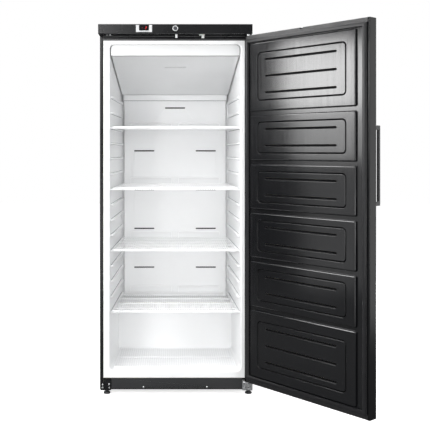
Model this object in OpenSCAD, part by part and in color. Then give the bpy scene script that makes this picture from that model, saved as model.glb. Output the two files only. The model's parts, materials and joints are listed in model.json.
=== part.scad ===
// Upright storage freezer: an insulated cabinet on four feet, a canopy with the controls,
// and one door, shown standing open.
// X runs across the cabinet, Y from the front to the back, Z up from the floor.

/* [Cabinet] */
// Width over the canopy
cabinet_w = 777; // [750:1:800]
// Height from the floor to the top of the canopy
cabinet_h = 1880; // [1870:1:1890]
// Depth of the insulated body behind the door
body_d = 660; // [650:1:680]
// Height of the canopy's front
canopy_h = 49; // [46:1:54]
// Thickness of the side walls with their insulation
wall_t = 51; // [48:1:56]
// Thickness of the bent steel sheet
sheet_t = 1.2; // [1:0.1:1.6]
// Thickness of the formed plastic liners
liner_t = 2.5; // [2:0.1:3]

/* [Door] */
// Thickness of the door without its seal
door_t = 48; // [46:1:52]
// Thickness of the seal and of the gap it fills
seal_t = 14; // [12:1:16]
// Angle by which the door stands open
door_angle = 130.3; // [90:0.1:135]
// Height of the handle
handle_l = 352; // [300:1:400]
// How far the handle stands out from the door
handle_out = 38; // [36:1:44]

/* [Interior] */
// Distance between two shelves
shelf_pitch = 316.5; // [300:0.5:320]
// Depth of a shelf from front to back
shelf_d = 543; // [520:1:545]
// Pitch of the wires of a shelf
wire_pitch = 23.2; // [20:0.1:28]
// Width of the wires of a shelf
wire_w = 3; // [2:0.1:4]
// Depth of the step over the compressor
step_d = 175; // [170:1:190]
// Height of the step over the compressor, above the cabinet's floor
step_h = 265; // [240:1:270]

/* [Feet] */
// Height of the feet below the foot plates
foot_h = 21; // [18:1:24]
// Radius of a foot's pad
foot_r = 17.5; // [15:0.5:20]

/* [Hidden] */

$fn = 48;
eps = 0.01;
gap = 0.4;           // between pieces that slide past each other
fit = 0.05;          // radial play of a pin in its hole

// Levels and planes of the cabinet
front_y = door_t + seal_t;
body_back = front_y + body_d;
plate_t = 4;
body_low = foot_h + plate_t;
body_half = cabinet_w / 2 - 3.5;
body_high = cabinet_h - sheet_t;
canopy_low = cabinet_h - canopy_h;
flange_half = body_half - 18.5;
flange_low = body_low + 60;
flange_high = canopy_low - 26;
open_half = cabinet_w / 2 - 3.5 - wall_t;
open_low = flange_low + 37;
open_high = flange_high - 20;
open_r = 20;
draft = 0.0345;      // how much each side wall closes in towards the back
liner_back = body_back - 52;
step_y = liner_back - step_d;
step_top = open_low + step_h;
step_wall = 42;      // insulation of the step, with its liner
room_y = step_y + step_wall;
room_top = step_top - step_wall;

function wall_half(y) = open_half - (y - front_y) * draft;

// Door, in its closed place
door_half = body_half - 7.5;
door_low = body_low + 53;
door_high = canopy_low - 9;
cap_h = 20;
hinge_x = door_half - 7.5;
hinge_y = door_t / 2 + 3;
hinge_r = 5;
bush_half = 9;
lip_w = 12;          // return of the skin on the door's inner side
seal_in = 21;        // the seal's distance from the door's top and bottom
door_h = door_high - door_low;
seal_w = 18;
seal_out = door_half - 15;
pad_hinge = door_half - 46.8;
pad_free = door_half - 66.5;
pad_mid = (pad_hinge - pad_free) / 2;
pad_half = (pad_hinge + pad_free) / 2;
pad_rise = 10;
groove_d = 3;
// Each pressed panel of the door's liner: top and bottom, as parts of the door's height
pads = [[0.024, 0.220], [0.230, 0.3595], [0.369, 0.4977], [0.5073, 0.636], [0.6456, 0.7765],
        [0.7844, 0.976]];
pad_slots = [3, 2, 2, 2, 2, 3];

// Handle, in the closed door's place
bar_w = 12;
bar_x = -door_half + 6;
handle_mid = door_low + 0.631 * door_h;
standoff_h = 19;

// Controls in the canopy
bezel_w = 81;
bezel_h = 36;
bezel_x = -157;
bezel_z = cabinet_h - 23;
window_w = 50;
window_h = 28;
window_low = bezel_z + bezel_h / 2 - window_h;
key_w = 12;
key_h = 4;
key_out = 1.4;
key_pitch = 17;
key_low = bezel_z - 15.5;
lock_z = cabinet_h - 22;
lock_r = 10;
bolt_w = 11.5;
bolt_x = 5.5;
bolt_y = 36;
bolt_t = 3;
bolt_low = door_high - 6;
switch_x = 135.5;
switch_y = 51;
switch_z = canopy_low + 11;
pivot_r = 1.2;

// Air circuit behind the sloping cover
fascia_low = open_high - 55;
cover_y0 = 92;
cover_y1 = liner_back - 32;
cover_drop = 162;
cover_low = fascia_low - cover_drop;
cover_run = cover_y1 - cover_y0;
cover_tilt = atan(cover_drop / cover_run);
cover_len = sqrt(cover_run * cover_run + cover_drop * cover_drop);
lip_h = 33;
duct_y = liner_back - 20;
duct_half = 296;
vent_w = 118;
vent_h = 7.5;
vent_first = cover_low - lip_h - 42;
vent_pitch = 227;
fan_z = cover_low + 122;
fan_y = cover_y1 - 50;

// Shelves and their runners
shelf_y = front_y + 35;
// cross bars under a shelf, as shares of its depth, and the height of its two rear loops
shelf_bars = [0.125, 0.365, 0.615, 0.865];
loop_h = 36;
shelf_1_top = open_high - 416;
shelf_t = 4.5;
rib_count = 15;
rib_h = 9;
rib_out = 14;

// Feet
foot_x = 350;
foot_front_y = front_y + 20;
foot_rear_y = body_back - 45;
foot_right_x = hinge_x + 5;
stem_r = 5;
foot_places = [[-foot_x, foot_front_y], [foot_right_x, foot_front_y], [-foot_x, foot_rear_y],
               [foot_x, foot_rear_y]];

// Screws of the front foot plate and of the lower and upper hinge brackets
bracket_left_x = [-371, -337];
bracket_left_z = [body_low + 10, body_low + 26];
bracket_right_x = [352, 374];
bracket_right_z = [body_low + 12, body_low + 32];
bracket_top_x = [314, 336, 358];
bracket_top_z = canopy_low + 26;

// Mains inlet in the rear grille
cable_x = -320;
cable_z = body_low + 55;
cable_r = 4.2;

// Corners of the open door that reach furthest, and from them the middle of the whole footprint
function opened(x, y) = [
  hinge_x + (x - hinge_x) * cos(door_angle) - (y - hinge_y) * sin(door_angle),
  hinge_y + (x - hinge_x) * sin(door_angle) + (y - hinge_y) * cos(door_angle)
];
reach_x = max(opened(bar_x, -handle_out)[0], opened(-door_half, 0)[0]);
reach_y = opened(-door_half, door_t)[1];
condenser_back = body_back + 24;
middle_x = (reach_x - cabinet_w / 2) / 2;
middle_y = (reach_y + condenser_back) / 2;

module placed() {
  translate([-middle_x, -middle_y, 0]) children();
}

module swung() {
  translate([hinge_x, hinge_y, 0])
    rotate([0, 0, door_angle])
      translate([-hinge_x, -hinge_y, 0])
        children();
}

// A box between two corners
module block(low, high) {
  translate(low) cube(high - low);
}

// A rectangle with round corners, about the origin
module rounded(w, h, r) {
  square([w - 2 * r, h], center = true);
  square([w, h - 2 * r], center = true);
  for (x = [-1, 1], y = [-1, 1])
    translate([x * (w / 2 - r), y * (h / 2 - r)]) circle(r);
}

// A flat shape drawn in X and Z, given a thickness along Y that starts at y
module upright(y, t) {
  translate([0, y + t, 0]) rotate([90, 0, 0]) linear_extrude(t) children();
}

// A cylinder along Y
module rod_y(x, z, r, y0, y1) {
  translate([x, y1, z]) rotate([90, 0, 0]) cylinder(r = r, h = y1 - y0);
}

// A cylinder along Z
module rod_x(y, z, r, x0, x1) {
  translate([x0, y, z]) rotate([0, 90, 0]) cylinder(h = x1 - x0, r = r);
}

module rod_z(x, y, r, z0, z1) {
  translate([x, y, z0]) cylinder(r = r, h = z1 - z0);
}

// A pan-head screw that points along +Y
module screw_y(x, y, z, head_r, depth) {
  rod_y(x, z, head_r, y - 2.2, y);
  rod_y(x, z, head_r * 0.5, y - eps, y + depth);
}

// ---------- Cabinet body ----------

module outer_shell() color("#1b1c1e") {
  difference() {
    block([-body_half, front_y, body_low], [body_half, body_back, body_high]);
    block([-body_half + sheet_t, front_y + sheet_t, body_low - 1],
          [body_half - sheet_t, body_back + 1, body_high - sheet_t]);
    block([-flange_half - 0.5, front_y - 1, body_low - 1],
          [flange_half + 0.5, front_y + sheet_t + 1, body_high - sheet_t]);
    for (x = bracket_left_x, z = bracket_left_z) rod_y(x, z, 2.5, front_y - 1, front_y + 5);
    for (x = bracket_right_x, z = bracket_right_z) rod_y(x, z, 2.5, front_y - 1, front_y + 5);
  }
}

module back_panel() color("#232426") {
  block([-body_half + sheet_t, body_back - sheet_t, room_top + 2],
        [body_half - sheet_t, body_back, body_high - sheet_t]);
}

module rear_grille() color("#232426") {
  w = 2 * (body_half - sheet_t);
  low = body_low + 8;
  high = room_top + 1;
  upright(body_back - sheet_t, sheet_t)
    difference() {
      translate([-w / 2, low]) square([w, high - low]);
      for (side = [-1, 1], row = [0:8])
        translate([side * 190, low + 60 + row * 24]) rounded(240, 7, 3.4);
      translate([cable_x, cable_z]) circle(cable_r);
    }
}

module compartment_wall() color("#8f9396") {
  block([-body_half + sheet_t, room_y, body_low + sheet_t],
        [body_half - sheet_t, room_y + sheet_t, room_top]);
  block([-body_half + sheet_t, room_y, room_top - sheet_t],
        [body_half - sheet_t, body_back - sheet_t, room_top]);
}

// The space inside the liner, grown by t on every side: round corners at the front, and side walls
// that close in towards the back
module cavity(t) {
  y0 = front_y - 1;
  y1 = liner_back + t;
  half_0 = wall_half(y0) + t;
  half_1 = wall_half(y1) + t;
  intersection() {
    upright(y0, y1 - y0)
      translate([0, (open_low + open_high) / 2])
        rounded(2 * half_0, open_high - open_low + 2 * t, open_r + t);
    translate([0, 0, open_low - t])
      linear_extrude(open_high - open_low + 2 * t)
        polygon([[-half_0, y0], [half_0, y0], [half_1, y1], [-half_1, y1]]);
  }
}

// The step over the compressor, which stands into the cavity
module step(t) {
  block([-body_half + sheet_t + 1, step_y + t, body_low + 5],
        [body_half - sheet_t - 1, body_back + 10, step_top - t]);
}

module foam_core() color("#e8dfae") {
  difference() {
    block([-body_half + sheet_t, front_y + liner_t, body_low + sheet_t],
          [body_half - sheet_t, body_back - sheet_t, body_high - sheet_t]);
    difference() {
      cavity(liner_t);
      step(liner_t);
    }
    block([-body_half, room_y, 0], [body_half, body_back + 1, room_top]);
    for (k = [0, 1]) rod_z(foot_places[k][0], foot_places[k][1], 8, 0, body_low + 12);
  }
}

// One runner rib on the wall at side -1 or 1, following the wall's draft
module rib(side, top) {
  y0 = shelf_y + 8;
  y1 = duct_y - 6;
  at_wall = [for (y = [y0, y1]) [side * (wall_half(y) + 1), y]];
  inner_edge = [for (y = [y1, y0]) [side * (wall_half(y) - rib_out), y]];
  translate([0, 0, top - rib_h]) linear_extrude(rib_h) polygon(concat(at_wall, inner_edge));
}

module inner_liner() color("#f2f4f5") {
  difference() {
    union() {
      upright(front_y, liner_t)
        translate([0, (flange_low + flange_high) / 2])
          square([2 * flange_half, flange_high - flange_low], center = true);
      difference() {
        cavity(liner_t);
        step(liner_t);
        block([-body_half, 0, 0], [body_half, front_y, cabinet_h]);
      }
    }
    difference() {
      cavity(0);
      step(0);
    }
  }
  for (i = [0:rib_count - 1], side = [-1, 1])
    rib(side, shelf_1_top - shelf_t - gap + (2 - i) * shelf_pitch / 4);
}

module front_rail() color("#3c3e40") {
  difference() {
    block([-flange_half, front_y, flange_high], [flange_half, front_y + 2, body_high - sheet_t]);
    for (x = bracket_top_x) rod_y(x, bracket_top_z, 2.5, front_y - 1, front_y + 3);
  }
}

module plinth() color("#1f2022") {
  difference() {
    block([-body_half + 60, front_y - 2, body_low + 1], [341.5, front_y, flange_low - 1]);
    for (x = [-162, 162]) rod_y(x, body_low + 13, 3, front_y - 3, front_y + 1);
  }
}

module plinth_screws() color("#9ea1a4") {
  for (x = [-162, 162]) {
    rod_y(x, body_low + 13, 5, front_y - 4.2, front_y - 2);
    rod_y(x, body_low + 13, 3, front_y - 2, front_y + liner_t);
  }
}

module base_pan() color("#2a2b2d") {
  difference() {
    union() {
      block([-body_half + sheet_t, front_y + sheet_t, body_low],
            [body_half - sheet_t, body_back - sheet_t, body_low + sheet_t]);
      block([-flange_half, front_y, body_low], [flange_half, front_y + sheet_t, flange_low - 1]);
    }
    for (f = foot_places) rod_z(f[0], f[1], 8, body_low - 1, body_low + 3);
    for (x = [-162, 162]) rod_y(x, body_low + 13, 3.2, front_y - 1, front_y + 5);
    for (x = bracket_left_x, z = bracket_left_z) rod_y(x, z, 2.5, front_y - 1, front_y + 5);
    for (x = bracket_right_x, z = bracket_right_z) rod_y(x, z, 2.5, front_y - 1, front_y + 5);
  }
}

// ---------- Canopy and controls ----------

module canopy() color("#1d1e20") {
  half = cabinet_w / 2;
  back = front_y + 45;
  difference() {
    union() {
      block([-half, 0, canopy_low], [half, sheet_t, cabinet_h]);
      block([-half, 0, cabinet_h - sheet_t], [half, back, cabinet_h]);
      block([-half, 0, canopy_low], [half, 18, canopy_low + sheet_t]);
      for (side = [-1, 1])
        block([side > 0 ? half - sheet_t : -half, 0, canopy_low],
              [side > 0 ? half : -half + sheet_t, back, cabinet_h]);
    }
    block([bezel_x - 36, -1, bezel_z - 16.5], [bezel_x + 36, 2, bezel_z + 14]);
    rod_y(0, lock_z, lock_r + 2.2, -1, 3);
  }
}

module controller_bezel() color("#b9bbbd") {
  difference() {
    union() {
      upright(-3, 3) translate([bezel_x, bezel_z]) rounded(bezel_w, bezel_h, 3);
      block([bezel_x - 35.6, 0, bezel_z - 16.1], [bezel_x + 35.6, 8, bezel_z + 13.6]);
    }
    block([bezel_x - window_w / 2, -4, window_low], [bezel_x + window_w / 2, 0, bezel_z + bezel_h]);
    for (k = [-1:1])
      block([bezel_x + k * key_pitch - key_w / 2 - gap, -4, key_low - gap],
            [bezel_x + k * key_pitch + key_w / 2 + gap, 9, key_low + key_h + gap]);
  }
}

module display_window() color("#0b0b0d") {
  block([bezel_x - window_w / 2, -2.6, window_low],
        [bezel_x + window_w / 2, 0, bezel_z + bezel_h / 2]);
}

module controller_body() color("#26282a") {
  block([bezel_x - 34, 8, bezel_z - 13], [bezel_x + 34, 55, bezel_z + 13]);
}

module controller_key(k) color("#d4d6d8") {
  block([bezel_x + k * key_pitch - key_w / 2, -3 - key_out, key_low],
        [bezel_x + k * key_pitch + key_w / 2, 6, key_low + key_h]);
}

module key_down() {
  controller_key(-1);
}

module key_set() {
  controller_key(0);
}

module key_up() {
  controller_key(1);
}

module lock_escutcheon() color("#c9ccce") {
  difference() {
    union() {
      rod_y(0, lock_z, lock_r + 4, -2.5, 0);
      rod_y(0, lock_z, lock_r + 2, -1, 20);
    }
    rod_y(0, lock_z, lock_r, -4, 21);
  }
}

module lock_case() color("#a7aaad") {
  difference() {
    block([-16, 20, canopy_low + 6], [20, 44, cabinet_h - 4]);
    rod_y(0, lock_z, lock_r, 19, 34);
    block([bolt_x - bolt_w / 2 - gap, bolt_y - gap, canopy_low],
          [bolt_x + bolt_w / 2 + gap, bolt_y + bolt_t + gap, cabinet_h - 6]);
  }
}

module lock_barrel() color("#d9dbdd") {
  difference() {
    rod_y(0, lock_z, lock_r - fit, -1.5, 33);
    block([-0.9, -2, lock_z - 4], [0.9, 6, lock_z + 4]);
  }
}

module lock_bolt() color("#e6e7e8") {
  block([bolt_x - bolt_w / 2, bolt_y, bolt_low], [bolt_x + bolt_w / 2, bolt_y + bolt_t, lock_z + 8]);
}

module switch_housing() color("#eceded") {
  difference() {
    union() {
      block([switch_x - 16.6, switch_y - 3, switch_z + 2.5], [switch_x + 16.6, front_y, switch_z + 30]);
      for (side = [-1, 1])
        block([switch_x + side * 15.4 - 1.2, switch_y - 3, switch_z - 3],
              [switch_x + side * 15.4 + 1.2, switch_y + 3, switch_z + 3]);
    }
    rod_x(switch_y, switch_z, pivot_r + gap, switch_x - 17, switch_x + 17);
  }
}

module switch_lever() color("#f0f1f1") {
  block([switch_x - 13.5, switch_y - 2, switch_z - 12], [switch_x + 13.5, switch_y + 2, switch_z - gap]);
  block([switch_x - 1.5, switch_y - 2, door_high - 5.5],
        [switch_x + 12, switch_y + 1.5, switch_z - 11]);
  rod_x(switch_y, switch_z, pivot_r, switch_x - 16.4, switch_x + 16.4);
}

// ---------- Interior ----------

module evaporator_fascia() color("#f4f5f6") {
  half = wall_half(cover_y0) - 4;
  difference() {
    intersection() {
      block([-half, cover_y0 - 22, fascia_low], [half, cover_y0 - 1, open_high - 1]);
      upright(cover_y0 - 23, 23)
        translate([0, (open_low + open_high) / 2])
          rounded(2 * half, open_high - open_low - 2, open_r);
    }
    block([-half + 3, cover_y0 - 19, fascia_low + 3], [half - 3, cover_y0, open_high]);
  }
}

module evaporator_cover() color("#c3c7ca") {
  half_0 = wall_half(cover_y0) - 5;
  half_1 = wall_half(cover_y1) - 5;
  translate([0, cover_y0, fascia_low])
    rotate([-cover_tilt, 0, 0])
      linear_extrude(liner_t)
        difference() {
          polygon([[-half_0, 1], [half_0, 1], [half_1, cover_len - 4], [-half_1, cover_len - 4]]);
          translate([0, cover_len * 0.27]) rounded(112, 5, 2.4);
        }
}

module cover_lip() color("#f4f5f6") {
  half = wall_half(cover_y1) - 14;
  block([-half, cover_y1 - 4, cover_low - lip_h], [half, duct_y, cover_low + 1]);
}

module vents() {
  translate([0, vent_first]) rounded(vent_w, vent_h, vent_h / 2 - 0.05);
  for (row = [1:4], side = [-1, 1])
    translate([side * 180, vent_first - 24 - row * vent_pitch])
      rounded(vent_w, vent_h, vent_h / 2 - 0.05);
}

module duct_panel() color("#f6f7f8") {
  low = step_top + 2;
  high = cover_low - lip_h;
  upright(duct_y, liner_t)
    difference() {
      translate([-duct_half, low]) square([2 * duct_half, high - low]);
      vents();
    }
  for (side = [-1, 1])
    block([side > 0 ? duct_half - liner_t : -duct_half, duct_y + liner_t, low],
          [side > 0 ? duct_half : -duct_half + liner_t, liner_back, high]);
}

module evaporator_coil() color("#aeb4b8") {
  low = open_high - 92;
  for (i = [0:12])
    block([-240 + i * 40 - 0.6, 330, low], [-240 + i * 40 + 0.6, 540, low + 62]);
  for (y = [360, 410, 460, 510], z = [16, 46])
    translate([-252, y, low + z]) rotate([0, 90, 0]) cylinder(r = 5, h = 504);
  for (side = [-1, 1])
    block([side * 247 - 1.5, 340, low + 10], [side * 247 + 1.5, 530, open_high]);
}

module fan_motor() color("#5d6164") {
  rod_y(0, fan_z, 30, fan_y + 16, liner_back - 4);
  rod_y(0, fan_z, 4, fan_y - 4, fan_y + 16);
  block([-60, liner_back - 4, fan_z - 50], [60, liner_back, fan_z + 50]);
}

module fan_blade() color("#2f3133") {
  difference() {
    union() {
      rod_y(0, fan_z, 20, fan_y - 2, fan_y + 13);
      for (a = [0:72:359])
        translate([0, fan_y + 5, fan_z])
          rotate([0, a, 0])
            rotate([0, 0, 24])
              translate([-14, -1, 16]) cube([28, 2, 58]);
    }
    rod_y(0, fan_z, 4 + fit, fan_y - 20, fan_y + 20);
  }
}

// A wire grid whose sides follow the walls; half_0 and half_1 are its half widths
module grid(y0, y1, half_0, half_1, top, bars, rear_rail) {
  depth = y1 - y0;
  edge = 8;
  run = half_1 - edge;
  slots = floor(run / wire_pitch);
  translate([0, 0, top - shelf_t])
    linear_extrude(shelf_t)
      difference() {
        polygon([[-half_0, y0], [half_0, y0], [half_1, y1], [-half_1, y1]]);
        for (k = [0:len(bars)]) {
          from = k == 0 ? y0 + 10 : y0 + bars[k - 1] * depth + 3;
          to = k == len(bars) ? y1 - 6 : y0 + bars[k] * depth - 3;
          for (i = [-slots:slots - 1])
            translate([i * wire_pitch + wire_w / 2, from]) square([wire_pitch - wire_w, to - from]);
        }
      }
  block([-half_0 + 1, y0, top - 9], [half_0 - 1, y0 + 5, top - shelf_t]);
  if (rear_rail)
    for (x = [-half_1 + 46, 18]) {
      wide = half_1 - 64;
      block([x, y1 - 4, top + loop_h - 4], [x + wide, y1, top + loop_h]);
      for (post = [x, x + wide - 4]) block([post, y1 - 4, top], [post + 4, y1, top + loop_h - 4]);
    }
}

module shelf(k) color("#fbfbfb") {
  y1 = shelf_y + shelf_d;
  top = shelf_1_top - k * shelf_pitch;
  grid(shelf_y, y1, wall_half(shelf_y) - 8, wall_half(y1) - 8, top, shelf_bars, true);
}

module shelf_1() {
  shelf(0);
}

module shelf_2() {
  shelf(1);
}

module shelf_3() {
  shelf(2);
}

module shelf_4() {
  shelf(3);
}

module floor_grid() color("#fbfbfb") {
  y1 = step_y - 8;
  grid(shelf_y, y1, wall_half(shelf_y) - 16, wall_half(y1) - 16, open_low + 9.6, [0.5], false);
}

// ---------- Machine compartment and back ----------

module compressor() color("#2b2c2e") {
  x = -130;
  y = room_y + 90;
  low = body_low + sheet_t;
  difference() {
    translate([x, y, low + 22])
      rotate_extrude()
        polygon([[0, 0], [66, 0], [74, 12], [78, 40], [78, 110], [70, 140], [48, 160], [0, 166]]);
    translate([x, y, low + 22])
      rotate_extrude()
        polygon([[0, 12], [58, 12], [66, 40], [66, 108], [58, 130], [42, 146], [0, 152]]);
  }
  for (sx = [-1, 1], sy = [-1, 1]) {
    rod_z(x + sx * 70, y + sy * 55, 9, low, low + 20);
    block([x + sx * 70 - 14, y + sy * 55 - 12, low + 20], [x + sx * 70 + 14, y + sy * 55 + 12, low + 23]);
  }
  block([x - 84, y - 20, low + 20], [x + 84, y + 20, low + 23]);
  for (sy = [-1, 1])
    block([x - 84, y + sy * 55 - 12, low + 20], [x + 84, y + sy * 55 + 12, low + 23]);
}

module condenser() color("#17181a") {
  low = step_top + 60;
  high = cabinet_h - 90;
  half = 290;
  rows = 16;
  wires = 8;
  step_z = (high - low) / rows;
  upright(body_back + 16, 8)
    for (i = [0:rows])
      translate([-half, low + i * step_z - 3]) square([2 * half, 6]);
  upright(body_back + 17, 6)
    for (i = [0:wires])
      translate([-half + i * 2 * half / wires - 1.5, low]) square([3, high - low]);
  for (x = [-half + 3, half - 3], z = [low + step_z, high - step_z])
    rod_y(x, z, 5, body_back, body_back + 18);
}

module drip_tray() color("#d5d2c4") {
  low = body_low + 235;
  difference() {
    block([20, room_y + 12, low], [300, body_back - 30, low + 45]);
    block([22.5, room_y + 14.5, low + 2.5], [297.5, body_back - 32.5, low + 46]);
  }
  for (x = [24, 288])
    block([x, room_y + sheet_t, low - 5], [x + 8, body_back - sheet_t, low]);
}

module mains_inlet() color("#141416") {
  difference() {
    block([cable_x - 20, body_back, cable_z - 15], [cable_x + 20, body_back + 6, cable_z + 15]);
    rod_y(cable_x, cable_z, cable_r, body_back - 1, body_back + 7);
  }
}

// ---------- Feet and hinges ----------

module foot_plates() color("#1e1f21") {
  difference() {
    union() {
      block([-body_half + 3, front_y - 3, foot_h], [-328, foot_front_y + 30, body_low]);
      block([-body_half + 3, front_y - 3, foot_h], [-328, front_y, body_low + 38]);
      for (side = [-1, 1])
        block([side * foot_x - 26, foot_rear_y - 26, foot_h],
              [side * foot_x + 26, foot_rear_y + 26, body_low]);
    }
    for (k = [0, 2, 3])
      rod_z(foot_places[k][0], foot_places[k][1], stem_r, foot_h - 1, body_low + 1);
    for (x = bracket_left_x, z = bracket_left_z) rod_y(x, z, 2.5, front_y - 4, front_y + 1);
  }
}

module hinge_bracket_bottom() color("#b5b8ba") {
  right = hinge_x + 24;
  difference() {
    union() {
      block([342, front_y - 4, foot_h], [right, foot_front_y + 30, body_low]);
      block([342, front_y - 4, foot_h], [right, front_y, body_low + 46]);
      block([342, hinge_y - 14, body_low + 46], [right, front_y, body_low + 51]);
    }
    rod_z(foot_right_x, foot_front_y, stem_r, foot_h - 1, body_low + 1);
    rod_z(hinge_x, hinge_y, hinge_r, body_low + 40, body_low + 60);
    for (x = bracket_right_x, z = bracket_right_z) rod_y(x, z, 2.5, front_y - 5, front_y + 1);
  }
}

module hinge_bracket_top() color("#2a2b2d") {
  difference() {
    union() {
      block([300, hinge_y - 14, canopy_low + 2], [hinge_x + 12, front_y, canopy_low + 7]);
      block([300, front_y - 4, canopy_low + 7], [hinge_x + 12, front_y, canopy_low + 40]);
    }
    rod_z(hinge_x, hinge_y, hinge_r, canopy_low, canopy_low + 9);
    for (x = bracket_top_x) rod_y(x, bracket_top_z, 2.5, front_y - 5, front_y + 1);
  }
}

module hinge_pins() color("#d2d4d6") {
  rod_z(hinge_x, hinge_y, hinge_r, body_low + 44, door_low + cap_h - 2);
  rod_z(hinge_x, hinge_y, 8, body_low + 51, body_low + 52.5);
  rod_z(hinge_x, hinge_y, hinge_r, door_high - cap_h + 2, canopy_low + 9);
  rod_z(hinge_x, hinge_y, 7.5, door_high + 1, canopy_low + 2);
}

module bracket_screws() color("#a9acae") {
  for (x = bracket_left_x, z = bracket_left_z) screw_y(x, front_y - 3, z, 4.5, 3 + liner_t);
  for (x = bracket_right_x, z = bracket_right_z) screw_y(x, front_y - 4, z, 4.5, 4 + liner_t);
  for (x = bracket_top_x) screw_y(x, front_y - 4, bracket_top_z, 4.5, 4 + liner_t);
}

module foot(k) color("#3a3c3e") {
  translate([foot_places[k][0], foot_places[k][1], 0]) {
    rotate_extrude()
      polygon([[0, 0], [foot_r - 1, 0], [foot_r, 1], [foot_r, 6], [foot_r - 3, 10], [9, 12], [0, 12]]);
    cylinder(r = stem_r - fit, h = body_low + 9);
    translate([0, 0, 11]) cylinder(r = 8, h = 5);
  }
}

module foot_front_left() {
  foot(0);
}

module foot_front_right() {
  foot(1);
}

module foot_rear_left() {
  foot(2);
}

module foot_rear_right() {
  foot(3);
}

// ---------- Door, drawn closed and then swung open ----------

module door_skin() color("#1d1e20") {
  difference() {
    block([-door_half, 0, door_low], [door_half, door_t, door_high]);
    block([-door_half + sheet_t, sheet_t, door_low - 1],
          [door_half - sheet_t, door_t - sheet_t, door_high + 1]);
    block([-door_half + lip_w, 1, door_low - 1], [door_half - lip_w, door_t + 1, door_high + 1]);
  }
  block([-door_half + lip_w - 1, 0, door_low], [door_half - lip_w + 1, sheet_t, door_high]);
}

// The pressed panels, drawn in from their edges by t and standing out to rise
module pressed_panels(t, rise) {
  for (p = pads) {
    high = door_high - p[0] * door_h - t;
    low = door_high - p[1] * door_h + t;
    block([-pad_free + t, door_t - sheet_t - liner_t, low], [pad_hinge - t, door_t + rise, high]);
  }
}

module panel_grooves() {
  for (k = [0:5]) {
    low = door_high - pads[k][1] * door_h;
    high = door_high - pads[k][0] * door_h;
    mid = (low + high) / 2;
    ring_h = (high - low) * 0.71;
    translate([pad_mid, mid])
      difference() {
        rounded(2 * pad_half * 0.845, ring_h, 22);
        rounded(2 * pad_half * 0.845 - 14, ring_h - 14, 15);
      }
    for (i = [0:pad_slots[k] - 1])
      translate([pad_mid, mid + (i - (pad_slots[k] - 1) / 2) * 81])
        rounded(2 * pad_half * 0.68, 9, 4.4);
  }
}

module door_liner() color("#161718") {
  difference() {
    union() {
      block([-door_half + sheet_t, door_t - sheet_t - liner_t, door_low + cap_h],
            [door_half - sheet_t, door_t - sheet_t, door_high - cap_h]);
      pressed_panels(0, pad_rise);
    }
    translate([0, -1, 0]) pressed_panels(liner_t + groove_d, pad_rise - liner_t - groove_d + 1);
    upright(door_t + pad_rise - groove_d, groove_d + 1) panel_grooves();
  }
}

module door_foam() color("#e8dfae") {
  block([-door_half + sheet_t, sheet_t, door_low + cap_h],
        [door_half - sheet_t, door_t - sheet_t - liner_t, door_high - cap_h]);
}

module door_gasket() color("#232426") {
  low = door_low + seal_in;
  high = door_high - seal_in;
  difference() {
    block([-seal_out, door_t - sheet_t, low], [seal_out, front_y - 0.5, high]);
    block([-seal_out + seal_w, door_t - 3, low + seal_w],
          [seal_out - seal_w, front_y + 1, high - seal_w]);
  }
}

module end_cap(low) {
  block([-door_half + sheet_t, sheet_t, low], [door_half - sheet_t, door_t - sheet_t, low + cap_h]);
  block([-door_half + lip_w, sheet_t, low], [door_half - lip_w, door_t, low + cap_h]);
}

// The corner of the door that the hinge bush fills
module bush_place(low, high) {
  block([hinge_x - bush_half, hinge_y - bush_half, low], [door_half - sheet_t, hinge_y + bush_half, high]);
}

module door_top_cap() color("#202123") {
  side = 2.5;
  difference() {
    end_cap(door_high - cap_h);
    bush_place(door_high - cap_h - 1, door_high + 1);
    block([bolt_x - bolt_w / 2 - side, bolt_y - side, bolt_low - 2],
          [bolt_x + bolt_w / 2 + side, door_t + 1, door_high + 1]);
    block([bolt_x - bolt_w / 2 - 1, bolt_y - 1.5, door_high - cap_h + 1],
          [bolt_x + bolt_w / 2 + 1, bolt_y + bolt_t + 1.5, door_high + 1]);
  }
}

module door_bottom_cap() color("#202123") {
  difference() {
    end_cap(door_low);
    bush_place(door_low - 1, door_low + cap_h + 1);
  }
}

module hinge_bushes() color("#dcdcd6") {
  for (low = [door_low, door_high - cap_h])
    difference() {
      bush_place(low, low + cap_h);
      rod_z(hinge_x, hinge_y, hinge_r + fit, low - 1, low + cap_h + 1);
    }
}

module handle_bar() color("#1a1b1c") {
  block([bar_x, -handle_out, handle_mid - handle_l / 2],
        [bar_x + bar_w, -handle_out + bar_w, handle_mid + handle_l / 2]);
}

module handle_standoffs() color("#1a1b1c") {
  for (side = [-1, 1])
    translate([0, 0, handle_mid + side * (handle_l / 2 - standoff_h / 2)])
      difference() {
        block([bar_x, -handle_out + bar_w, -standoff_h / 2], [bar_x + bar_w, 0, standoff_h / 2]);
        rod_y(bar_x + bar_w / 2, 0, 2.5, -14, 1);
      }
}

module handle_screws() color("#a9acae") {
  for (side = [-1, 1])
    rod_y(bar_x + bar_w / 2, handle_mid + side * (handle_l / 2 - standoff_h / 2), 2.5, -14, 0);
}

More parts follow.
